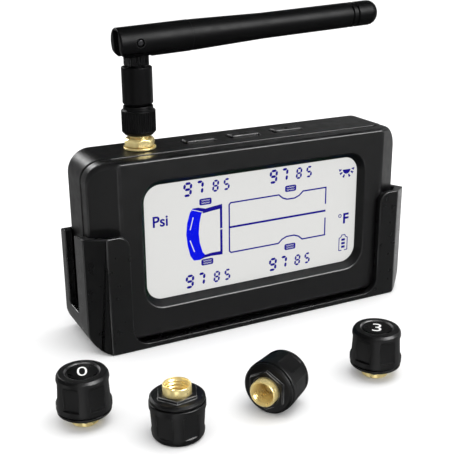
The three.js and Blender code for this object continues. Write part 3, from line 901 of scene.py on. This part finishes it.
def glyphs(name, text, boldness, spot):
    """Text as a closed mesh. spot(a, b, c) gives the place of a point from its shares of the
    text's width, height and thickness."""
    curve = bpy.data.curves.new(name, "FONT")
    curve.body = text
    curve.size = 1.0
    curve.offset = boldness
    curve.extrude = 0.05
    curve.resolution_u = 8
    writer = add_object(name + "_curve", curve)
    bpy.context.view_layer.update()
    mesh = bpy.data.meshes.new_from_object(writer)
    bpy.data.objects.remove(writer)
    with editing(mesh) as work:
        bmesh.ops.remove_doubles(work, verts=work.verts, dist=1e-5)
        bmesh.ops.recalc_face_normals(work, faces=work.faces)
    points = [vertex.co.copy() for vertex in mesh.vertices]
    ranges = [(min(values), max(values)) for values in zip(*points)]
    for vertex in mesh.vertices:
        shares = [(value - low) / (high - low) for value, (low, high) in zip(vertex.co, ranges)]
        vertex.co = spot(*shares)
    return add_object(name, mesh)


def lettering(name, text, u0, u1, v0, v1, boldness):
    """Text fitted to a box on the display film."""
    def spot(a, b, c):
        return screen_point(u0 + a * (u1 - u0), v1 - b * (v1 - v0), FILM_Y - c * INK_DEPTH)

    return glyphs(name, text, boldness, spot)


def plate(name, node, corner, edge):
    """A flat piece that fills the frame's box of a node."""
    low, high = box_mm(node)
    outline = rounded_box(low.x, high.x, low.z, high.z, corner)
    return shade(round_edges(prism(name, outline, low.y, high.y, "y"), edge, segments=2))


def display():
    window = plate("display_window_fine", "display_window", 1, HIDDEN_EDGE)
    place(window, "monitor", "window", WINDOW, ["display_window"])
    film = plate("display_film", "lcd_panel", 1, HIDDEN_EDGE)
    film.visible_glossy = False
    place(film, "monitor", "lcd", SCREEN, ["lcd_panel"])
    cab_front, cab_outline = cab()
    hitch = line([(30.0, 18.8), (67.7, 18.8)], 0.72)
    navy = readings() + tyre_icons() + trailer() + icons() + cab_outline + [hitch]
    pale = [line([(16.7, 13.2), (15.5, 17.4)], 0.32), line([(15.4, 21.0), (16.9, 25.2)], 0.32)]
    pale.append(line([(16.2, 10.6), (18.0, 11.2), (20.2, 12.0)], 0.22))
    prints = [
        (printed("display_readings", navy), INK_NAVY),
        (printed("display_vehicle", cab_front), INK_BLUE),
        (printed("display_glints", pale + tyre_treads(), 0.03, INK_DEPTH), SCREEN),
        (lettering("display_psi", "Psi", 2.6, 7.8, 10.9, 14.6, 0.02), INK_NAVY),
        (lettering("display_f", "F", 75.3, 77.6, 21.0, 24.9, 0.03), INK_NAVY),
    ]
    for piece, ink in prints:
        place(piece, "monitor", "lcd", ink)


# ---- Antenna ----
def on_antenna(height=0.0):
    return Matrix.Translation((ANTENNA.x, ANTENNA.y, height))


def threaded(radius, depth, low, high, pitch, inward=False):
    """A shape for turned(): a screw thread on the surface at that radius."""
    def shape(angle, r, z):
        if abs(r - radius) > 0.01 or not low < z < high:
            return r
        phase = (z / pitch - angle / (2 * math.pi)) % 1.0
        ridge = 1 - abs(2 * phase - 1)
        return r - depth * ridge if inward else r - depth * (1 - ridge)
    return shape


def brass_part(obj, node):
    place(shade(obj), "monitor", "brass", BRASS, [node], on_antenna())


def rubber_part(obj, body, node, at, crease=38):
    place(shade(obj, crease), body, "antenna_rubber", RUBBER, [node], at)


def sma_parts():
    low, high = box_mm("sma_jack")
    seat = TOP - WALL - 0.3
    rows = [(0, low.z), (JACK_FLANGE_R, low.z), (JACK_FLANGE_R, seat), (JACK_R, seat)]
    step = 0.12
    count = int((high.z - 0.5 - seat) / step)
    rows += [(JACK_R, seat + step * (i + 1)) for i in range(count)]
    rows += [(2.8, high.z), (JACK_BORE_R, high.z)]
    rows += [(JACK_BORE_R, JACK_BORE_BOTTOM), (0, JACK_BORE_BOTTOM)]
    thread = threaded(JACK_R, 0.22, TOP, high.z - 0.6, 0.7)
    brass_part(turned("sma_jack_fine", rows, 64, thread), "sma_jack")
    low, high = box_mm("sma_washer")
    hole, rim = SOCKET_HOLE_R, 5.2
    ring = [(hole, low.z, 0), (rim, low.z, 0.1), (rim, high.z, 0.2), (hole, high.z, 0)]
    brass_part(turned_path("sma_washer_fine", ring + ring[:1], 3), "sma_washer")
    low, high = box_mm("sma_nut")
    nut = rod("sma_nut_fine", 5.15, low.z, high.z, "z", steps=6)
    barrel = [(0, low.z), (4.7, low.z), (4.95, low.z + 0.2), (4.95, high.z - 0.75)]
    keep_inside(nut, turned("chamfer", barrel + [(4.2, high.z), (0, high.z)], 64))
    cut(nut, rod("bore", SOCKET_HOLE_R, low.z - 1, high.z + 1, "z"))
    brass_part(round_edges(nut, 0.12, sharpest=20, segments=2), "sma_nut")


def knurl(angle, r, z):
    """A shape for turned(): ridges that fade out at both ends of the grip."""
    if r < KNURL_R - 0.01 or not KNURL_BOTTOM < z < KNURL_TOP:
        return r
    ease = min(1.0, (z - KNURL_BOTTOM) / 0.3, (KNURL_TOP - z) / 0.3)
    return r - KNURL_DEPTH * ease * (0.5 - 0.5 * math.cos(KNURL_RIDGES * angle)) ** 0.7


def antenna_nut():
    rise = (KNURL_BOTTOM, KNURL_BOTTOM + 0.15, KNURL_BOTTOM + 0.3)
    fall = (KNURL_TOP - 0.3, KNURL_TOP - 0.15, KNURL_TOP)
    foot = ((3.5, 0), (4.25, 0), (4.45, 0.1), (5.3, 1.0), (KNURL_R - 0.01, 1.2))
    rows = [(r, NUT_BOTTOM + z) for r, z in foot] + [(KNURL_R, z) for z in rise + fall]
    rows += [(5.3, 74.5), (4.85, 74.8), (4.72, 74.95), (4.72, 75.6), (4.6, NUT_TOP), (2.8, NUT_TOP)]
    rows += [(2.8, KNURL_TOP), (3.5, KNURL_TOP), (3.5, NUT_BOTTOM)]
    nut = turned("antenna_nut_fine", rows, KNURL_RIDGES * 6, knurl)
    rubber_part(nut, "antenna_nut", "antenna_nut", on_antenna(), 50)


def antenna_neck():
    low = NUT_TOP + 0.3
    path = [(0, 70.8, 0), (3.1, 70.8, 0.2), (3.1, 73.9, 0.2), (2.4, 73.9, 0.1), (2.4, low, 0.1)]
    path += [(4.25, low, 0.15), (4.8, low + 0.7, 0.3), (4.8, BARREL_TOP, 0.35)]
    path += [(4.1, BARREL_TOP - 0.05, 0.1), (3.9, BARREL_TOP - 0.35, 0.1)]
    path += [(2.5, BARREL_TOP - 0.35, 0.1), (2.5, 80, 0.1), (0, 80, 0)]
    barrel = turned_path("antenna_barrel_fine", path, 4, 72)
    rubber_part(barrel, "antenna_swivel", "antenna_barrel", on_antenna())
    half_x, half_y = KNUCKLE_HALF_X, KNUCKLE_HALF_Y
    bottom = BARREL_TOP + 0.3
    crown = HINGE.z + half_x
    path = [(-half_x, bottom, 0), (half_x, bottom, 0)]
    path += [(half_x, crown, half_x), (-half_x, crown, half_x)]
    neck = prism("antenna_knuckle_fine", rounded_path(path, 12), -half_y, half_y, "y")
    slots = [rod("eye", PIN_HOLE_R, -4, 4, "y", 0, HINGE.z)]
    for x in (-2.3, -0.6, 0.6, 2.3):
        for y in (-half_y, half_y):
            groove = rounded_box(x - 0.25, x + 0.25, y - 0.45, y + 0.45, 0)
            slots.append(prism("groove", groove, bottom - 1, HINGE.z - half_x, "z"))
    cut(neck, *slots)
    join(neck, rod("stem", 2.0, 81, BARREL_TOP + 1, "z"))
    round_edges(neck, lambda middle: 0.3 if abs(middle.x) > 2.5 else 0.1)
    rubber_part(neck, "antenna_swivel", "antenna_knuckle", on_antenna())


def antenna_whip():
    """Made with the hinge at the origin and the whip along +x."""
    path = [(0, -WHIP_BEHIND, 0), (WHIP_R, -WHIP_BEHIND, 0.5), (WHIP_R, SLEEVE_END, 0.05)]
    path += [(WHIP_R - 0.07, SLEEVE_END + 0.1, 0.05), (WHIP_R - 0.07, 20, 8), (WHIP_THIN_R, 44, 60)]
    for groove in WHIP_GROOVES:
        path += [(WHIP_THIN_R, groove - 0.25, 0.1), (3.7, groove, 0.1), (3.7, groove + 0.6, 0.1)]
        path += [(WHIP_THIN_R, groove + 0.85, 0.1)]
    path += [(WHIP_THIN_R, WHIP_AHEAD, 3.4), (0, WHIP_AHEAD, 0)]
    whip = turned_path("antenna_whip_fine", path, 6, 96)
    whip.data.transform(rotation(90, "Y"))
    back, below = -WHIP_BEHIND - 1, -WHIP_R - 1
    slot = [(back, below, 0), (FORK_END, below, 0), (FORK_END, FORK_TOP, 1.2), (back, FORK_TOP, 0)]
    fork = prism("fork", rounded_path(slot, 6), -FORK_HALF, FORK_HALF, "y")
    knee_x, knee_z = KNEE_R - WHIP_BEHIND, KNEE_R - WHIP_R
    corner = [(knee_x, below), (back, below), (back, knee_z)]
    round_off = arc(knee_x, knee_z, KNEE_R, 270, 180, 10)[::-1]
    knee = prism("knee", corner + round_off, -8, 8, "y")
    cut(whip, fork, rod("pin_hole", PIN_HOLE_R, -8, 8, "y"), knee)
    round_edges(whip, 0.22, sharpest=35, segments=2)
    at = Matrix.Translation(HINGE) @ rotation(-WHIP_TILT, "Y")
    rubber_part(whip, "antenna_whip", "antenna_whip", at)
    path = [(0, -4.5, 0), (1.0, -4.5, 0.3), (1.0, 4.5, 0.3), (0, 4.5, 0)]
    pin = turned_path("antenna_hinge_pin_fine", path, 4, 32)
    pin.data.transform(rotation(90, "X"))
    place(shade(pin), "antenna_whip", "steel", DARK_STEEL, ["antenna_hinge_pin"], at)


# ---- Cradle ----
def cradle():
    plan = faceted_plan(CRADLE_HALF, CRADLE_FRONT, CRADLE_BACK, CRADLE_FACET_X, CRADLE_FACET_Y)
    shell = prism("cradle_shell_fine", plan, 0, CRADLE_TOP, "z")
    outline = rounded_box(-CRADLE_HALF, CRADLE_HALF, 0, CRADLE_TOP + 20, CRADLE_CORNER, 12)
    keep_inside(shell, prism("outline", outline, CRADLE_FRONT - 1, CRADLE_BACK + 1, "y"))
    half = HALF_W + POCKET_GAP
    inside = faceted_plan(half, FRONT - POCKET_GAP, BACK + POCKET_GAP, ROOM_FACET_X, ROOM_FACET_Y)
    room = prism("room", inside, -1, CRADLE_TOP + 5, "z")
    hollow = rounded_box(-half, half, CRADLE_FLOOR, CRADLE_TOP + 20, BODY_CORNER, 12)
    keep_inside(room, prism("hollow", hollow, -40, 40, "y"))
    cut(shell, room)
    beyond = OPENING_HALF + LIP_CROWN
    lip = arc(beyond, CRADLE_TOP - LIP_CROWN, LIP_CROWN, 180, 90, 8)
    right = [(u, v, 0) for u, v in lip] + [(beyond, CRADLE_TOP + 5, 0)]
    left = [(-u, v, 0) for u, v, _ in reversed(right)]
    sill = [(way * OPENING_HALF, CRADLE_FLOOR + 0.2, OPENING_CORNER) for way in (-1, 1)]
    mouth = prism("mouth", rounded_path(sill + right + left, 8), CRADLE_FRONT - 1, FRONT, "y")
    side_slot = rounded_path([(-0.6, 10.5, 1.0), (9.6, 10.5, 2.2), (9.6, 60, 0), (-0.6, 60, 0)], 5)
    ahead, behind = CRADLE_FRONT - 2, CRADLE_BACK + 2
    slope = [(ahead, CRADLE_TOP + SLOPE_LIFT), (behind, CRADLE_BACK_TOP - SLOPE_LIFT)]
    slope += [(behind, 60), (ahead, 60)]
    cuts = [prism("cut", outline, -70, 70, "x") for outline in (side_slot, slope)]
    cut(shell, mouth, *cuts)

    def width(middle):
        if middle.z < 0.05:
            return BASE_EDGE
        if abs(middle.y - FRONT + POCKET_GAP) < 0.05:
            return HIDDEN_EDGE if middle.z > CRADLE_FLOOR + 3 else 0.0
        if middle.z < CRADLE_FLOOR + 0.3 and FRONT - 1 < middle.y < BACK + 1:
            return 0.0
        if abs(middle.y - CRADLE_BACK) < 0.1:
            return CRADLE_BACK_EDGE
        if middle.z < CRADLE_FLOOR + 6 and abs(middle.x) < OPENING_HALF + 0.1:
            return SILL_EDGE
        return LIP_EDGE

    round_edges(shell, width)
    place(shade(shell), "cradle", "cradle_plastic", CRADLE, ["cradle_shell"])
    pad = plate("cradle_adhesive_pad_fine", "cradle_adhesive_pad", 3, 0.2)
    place(pad, "cradle", "foam", FOAM, ["cradle_adhesive_pad"])


# ---- Sensors ----
def cap_angles():
    """Places around the cap, closer together at the grips' edges."""
    offsets = (-30, -25, -20.5, -19, -18.2, -17.4, -12, -6, 0, 6, 12, 17.4, 18.2, 19, 20.5, 25)
    turns = []
    for grip in range(GRIPS):
        turns += [math.radians(30 + 60 * grip + offset) for offset in offsets]
    return turns


def smooth_step(low, high, value):
    t = min(1.0, max(0.0, (value - low) / (high - low)))
    return t * t * (3 - 2 * t)


def cap_shape(angle, radius, height):
    """Six flats pressed into the side, each with a sloped ledge under it."""
    if radius < 7.0 or height < 5.5 or height > 13.6:
        return radius
    offset = abs((math.degrees(angle) % 60) - 30)
    across = 1 - smooth_step(17.6, 19.0, offset)
    along = smooth_step(6.3, 6.55, height) * (1 - smooth_step(12.9, 13.3, height))
    flat = GRIP_PLANE / math.cos(math.radians(offset))
    return radius - max(0.0, radius - flat) * across * along


def sensor_cap():
    path = [(0, 12.9, 0), (6.3, 12.9, 0.1), (6.3, CAP_BOTTOM, 0.1), (CAP_R, CAP_BOTTOM, 0.35)]
    profile = rounded_path(path + [(CAP_R, 5.6, 0)], 3, closed=False)
    levels = (6.0, 6.2, 6.3, 6.36, 6.42, 6.48, 6.55, 7.2, 9.0, 11.0)
    levels += (12.6, 12.9, 13.0, 13.1, 13.2, 13.3, 13.5)
    profile += [(CAP_R - 0.062 * max(0.0, z - 6.4), z) for z in levels]
    top = [(7.25, 13.6, 0), (7.15, 14.3, 0.5), (6.6, SENSOR_H - 0.05, 0.4), (4.9, SENSOR_H, 0.15)]
    top += [(4.6, SENSOR_H - 0.5, 0.1), (4.5, SENSOR_H - 0.7, 0), (0, SENSOR_H - 0.7, 0)]
    profile += rounded_path(top, 4, closed=False)
    cap = turned("sensor_cap", profile, cap_angles(), cap_shape)

    def label_rim(face):
        return face.center.z > SENSOR_H - 0.55 and 4.5 < face.center.xy.length < 5.0

    # The label's rim gets the pale edge colour: a painted highlight ring.
    mark_faces(cap, label_rim)
    return cap


def sensor_base():
    inner = INSERT_R + 0.3
    path = [(inner, 3.1, 0), (6.9, 3.1, 0.15), (7.5, 3.6, 0.2), (7.5, 4.2, 0.1)]
    path += [(BOSS_R, 4.2, 0.1), (BOSS_R, 8.4, 0.1), (inner, 8.4, 0), (inner, 3.1, 0)]
    base = turned_path("sensor_base", path, 3, 72)
    boss = rod("boss", BOSS_R, 2.2, 3.4, "z", steps=6)
    cut(boss, rod("bore", inner, 0, 5, "z", steps=72))
    return round_edges(join(base, boss), 0.16, sharpest=50, segments=2)


def sensor_insert():
    rows = [(0, 8.2), (INSERT_R, 8.2), (INSERT_R, 0.3), (INSERT_R - 0.1, 0.08), (INSERT_R - 0.25, 0)]
    rows += [(INSERT_BORE + 0.25, 0), (INSERT_BORE + 0.02, 0.22)]
    step = THREAD_PITCH / 8
    rows += [(INSERT_BORE, 0.4 + step * i) for i in range(int((BORE_TOP - 0.4) / step))]
    rows += [(INSERT_BORE, BORE_TOP), (0, BORE_TOP)]
    thread = threaded(INSERT_BORE, 0.32, 0.5, 6.4, THREAD_PITCH, inward=True)
    return turned("sensor_insert", rows, 72, thread)


def sensor_pin():
    """The valve pin on its spoked carrier."""
    def spokes(angle, radius, height):
        if radius < 1.0:
            return radius
        return radius * (0.62 + 0.38 * (0.5 + 0.5 * math.cos(5 * angle)) ** 0.5)

    path = [(0, 4.4, 0), (0.65, 4.4, 0.3), (0.65, 5.7, 0.15), (2.6, 5.7, 0.2), (2.6, 6.5, 0.1)]
    profile = rounded_path(path + [(0, 6.5, 0)], 3, closed=False)
    return turned("sensor_pin", profile, 60, spokes)


def sensor_label():
    low = SENSOR_H - 0.4
    path = [(0, low, 0), (LABEL_R, low, 0.05), (LABEL_R, LABEL_TOP, 0.14), (0, LABEL_TOP, 0)]
    return turned_path("sensor_label", path, 4, 72)


def label_digit(number):
    width = 1.7 if number == 1 else 2.7

    def spot(a, b, c):
        return ((a - 0.5) * width, (b - 0.5) * DIGIT_H, LABEL_TOP + (c - 0.5) * 0.06)

    return glyphs(f"sensor_{number}_digit", str(number), -0.008, spot)


def sensor_place(number):
    """From a sensor's own axes to the frame: the axis runs through its insert and its label."""
    insert = centre_mm(f"sensor_{number}_insert")
    label = centre_mm(f"sensor_{number}_label")
    up = (label - insert).normalized()
    facing = math.radians(SENSOR_FACING[number])
    ahead = Vector((math.cos(facing), math.sin(facing), 0))
    if abs(up.z) < 0.5:
        ahead = Vector((0, 0, 1))
    side = up.cross(ahead).normalized()
    ahead = side.cross(up)
    axes = Matrix((ahead, side, up)).transposed().to_4x4()
    return Matrix.Translation(insert - up * 4.1) @ axes


def sensors():
    pieces = [
        (sensor_cap(), "cap", "_cap", "sensor_plastic", SENSOR),
        (sensor_base(), "base", "", "sensor_plastic", SENSOR),
        (sensor_insert(), "insert", "", "brass", BRASS),
        (sensor_pin(), "pin", "", "brass", BRASS),
        (sensor_label(), "label", "_cap", "gloss_black", GLOSS),
    ]
    for number in SENSORS:
        at = sensor_place(number)
        for source, part, body, slot, material in pieces:
            node = f"sensor_{number}_{part}"
            piece = add_object(f"{node}_fine", source.data.copy())
            place(shade(piece), f"sensor_{number}{body}", slot, material, [node], at)
        turned_at = at @ rotation(90, "Z")
        digit_piece = label_digit(number)
        place(digit_piece, f"sensor_{number}_cap", "gloss_black", WHITE_INK, at=turned_at)
    for source, *_ in pieces:
        bpy.data.objects.remove(source)


# ---- Pieces carried over from the frame, with their materials ----
CARRIED = {
    BOARD: ["main_board"] + [f"sensor_{n}_board" for n in SENSORS],
    STEEL: ["charging_socket"] + [f"sensor_{n}_battery" for n in SENSORS],
    FOIL: ["battery_cell", "switch_up", "switch_mode", "switch_down"],
    GLOSS: ["alarm_buzzer"],
    BRASS: ["antenna_radiator"],
    SCREEN: ["backlight_panel"],
}


def carried_over():
    for material, names in CARRIED.items():
        for name in names:
            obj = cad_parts[name]
            obj.data.materials.clear()
            obj.data.materials.append(material)
            obj.visible_glossy = material is not SCREEN


# ---- Stage, in metres ----
FLOOR_HALF = 4.0


def stage():
    around = ((-1, -1), (1, -1), (1, 1), (-1, 1))
    floor_corners = [(x * FLOOR_HALF, y * FLOOR_HALF, 0) for x, y in around]
    floor = new_object("floor", floor_corners, [(0, 1, 2, 3)])
    floor.data.materials.append(TABLE)
    floor.visible_glossy = False


def area_light(name, direction, distance, size, watts):
    """A square softbox facing the middle of the set, not seen in reflections."""
    aim = Vector((0, -0.02, 0.03))
    way = Vector(direction).normalized()
    data = bpy.data.lights.new(name, "AREA")
    data.shape = "SQUARE"
    data.size = size
    data.energy = watts
    light = add_object(name, data)
    light.location = aim + way * distance
    light.rotation_euler = way.to_track_quat("Z", "Y").to_euler()
    light.visible_glossy = False


def glow(tree, direction, inner, outer, strength):
    """A soft patch of studio light; inner and outer are its half angles in degrees."""
    where = add_node(tree, "TexCoord", {}).outputs["Generated"]
    aimed = {0: where, 1: Vector(direction).normalized()}
    dot = add_node(tree, "VectorMath", aimed, operation="DOT_PRODUCT").outputs["Value"]
    ranges = {
        "From Min": math.cos(math.radians(outer)),
        "From Max": math.cos(math.radians(inner)),
        "To Max": strength,
    }
    smooth = "SMOOTHSTEP"
    node = add_node(tree, "MapRange", {"Value": dot, **ranges}, interpolation_type=smooth)
    return node.outputs["Result"]


# The room as reflections see it: glowing patches, each with its direction, the half angles of
# its even middle and of its rim, and its brightness, over an even grey. Everything else is
# lit by an even white.
GLOWS = [
    ((0.80, 0.58, 0.14), 6, 34, 0.3),
    ((-0.43, 0.84, -0.33), 20, 34, 0.3),
    ((-0.96, 0.05, -0.33), 6, 22, 1.1),
    ((0.95, 0.05, -0.30), 10, 30, 0.42),
    ((-0.30, 0.84, 0.45), 2, 10, 20.0),
    ((0.43, -0.74, 0.52), 10, 22, 20.0),
    ((0.50, -0.80, -0.33), 12, 45, 0.17),
    ((-0.43, -0.84, 0.33), 10, 30, 0.6),
    ((-0.43, -0.79, -0.45), 6, 17, 2.2),
    ((0.84, 0.46, -0.31), 4, 13, 0.8),
]
ROOM_GREY = 0.03
ROOM_WHITE = 1.2
OVERHEAD = ((0.3, -0.1, 0.95), 0.8, 0.6, 2.5)  # direction, distance, size and power


def studio():
    world = bpy.data.worlds.new("studio")
    bpy.context.scene.world = world
    world.use_nodes = True
    world.cycles.sampling_method = "NONE"
    tree = world.node_tree
    total = ROOM_GREY
    for direction, inner, outer, strength in GLOWS:
        patch = glow(tree, direction, inner, outer, strength)
        total = add_node(tree, "Math", {0: patch, 1: total}).outputs["Value"]
    background = tree.nodes["Background"]
    feed(tree, background, {"Color": (1, 1, 1, 1), "Strength": total})
    white = add_node(tree, "Background", {"Color": (1, 1, 1, 1), "Strength": ROOM_WHITE})
    reflected = add_node(tree, "LightPath", {}).outputs["Is Glossy Ray"]
    sides = {"Fac": reflected, 1: white.outputs[0], 2: background.outputs[0]}
    mix = add_node(tree, "MixShader", sides).outputs["Shader"]
    feed(tree, tree.nodes["World Output"], {"Surface": mix})
    area_light("overhead", *OVERHEAD)


# The photo's view, in degrees and millimetres.
CAMERA_AZIMUTH = -26.96
CAMERA_ELEVATION = 19.42
CAMERA_ROLL = -0.42
CAMERA_DISTANCE = 284.7
CAMERA_TARGET = (-11.38, FRONT, 34.62)
CAMERA_LENS = 68.13
CAMERA_SENSOR = 36.0


def camera():
    azimuth, elevation = math.radians(CAMERA_AZIMUTH), math.radians(CAMERA_ELEVATION)
    back = Vector((
        math.sin(azimuth) * math.cos(elevation),
        -math.cos(azimuth) * math.cos(elevation),
        math.sin(elevation),
    ))
    right = Vector((0, 0, 1)).cross(back).normalized()
    axes = Matrix((right, back.cross(right), back)).transposed().to_4x4()
    data = bpy.data.cameras.new("camera")
    data.lens = CAMERA_LENS
    data.sensor_width = CAMERA_SENSOR
    data.clip_start = 0.01
    obj = add_object("camera", data)
    location = (Vector(CAMERA_TARGET) + back * CAMERA_DISTANCE) * MM
    obj.matrix_world = Matrix.Translation(location) @ axes @ rotation(CAMERA_ROLL, "Z")
    bpy.context.scene.camera = obj


# ---- The set ----
camera()
stage()
studio()
bpy.context.scene.view_settings.view_transform = "Standard"
front_shell()
rear_shell()
case_screws()
buttons()
display()
sma_parts()
antenna_nut()
antenna_neck()
antenna_whip()
cradle()
sensors()
carried_over()
